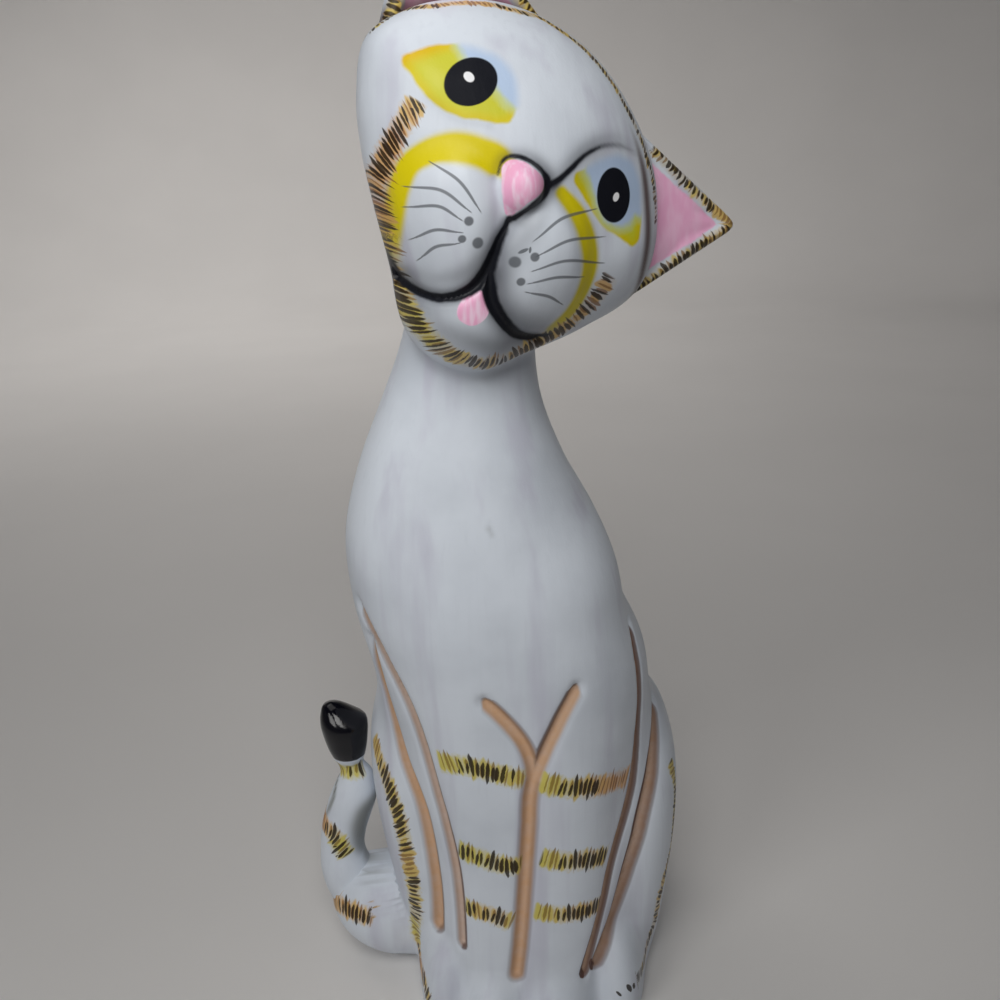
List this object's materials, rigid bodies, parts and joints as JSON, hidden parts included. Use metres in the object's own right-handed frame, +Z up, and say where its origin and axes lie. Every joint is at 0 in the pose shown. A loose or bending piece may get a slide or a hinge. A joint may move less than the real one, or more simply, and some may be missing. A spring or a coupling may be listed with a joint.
{
  "type": "carved wooden cat figurine",
  "caption": "Seated cat carved from one piece of wood, head tilted to one side, painted white with striped markings and a black-tipped tail.",
  "frame": {"origin": "on the flat underside, below the middle of the body", "axes": "+Z up along the body's height, -Y is the side the chest faces, +X is the side the right ear in view points to"},
  "size_m": [0.1689, 0.1222, 0.4131],
  "materials": {
    "painted_wood": "satin white paint over carved wood, with airbrushed peach grooves and hand-painted markings"
  },
  "bodies": {
    "root": {"cat": "painted_wood"}
  },
  "joints": []
}
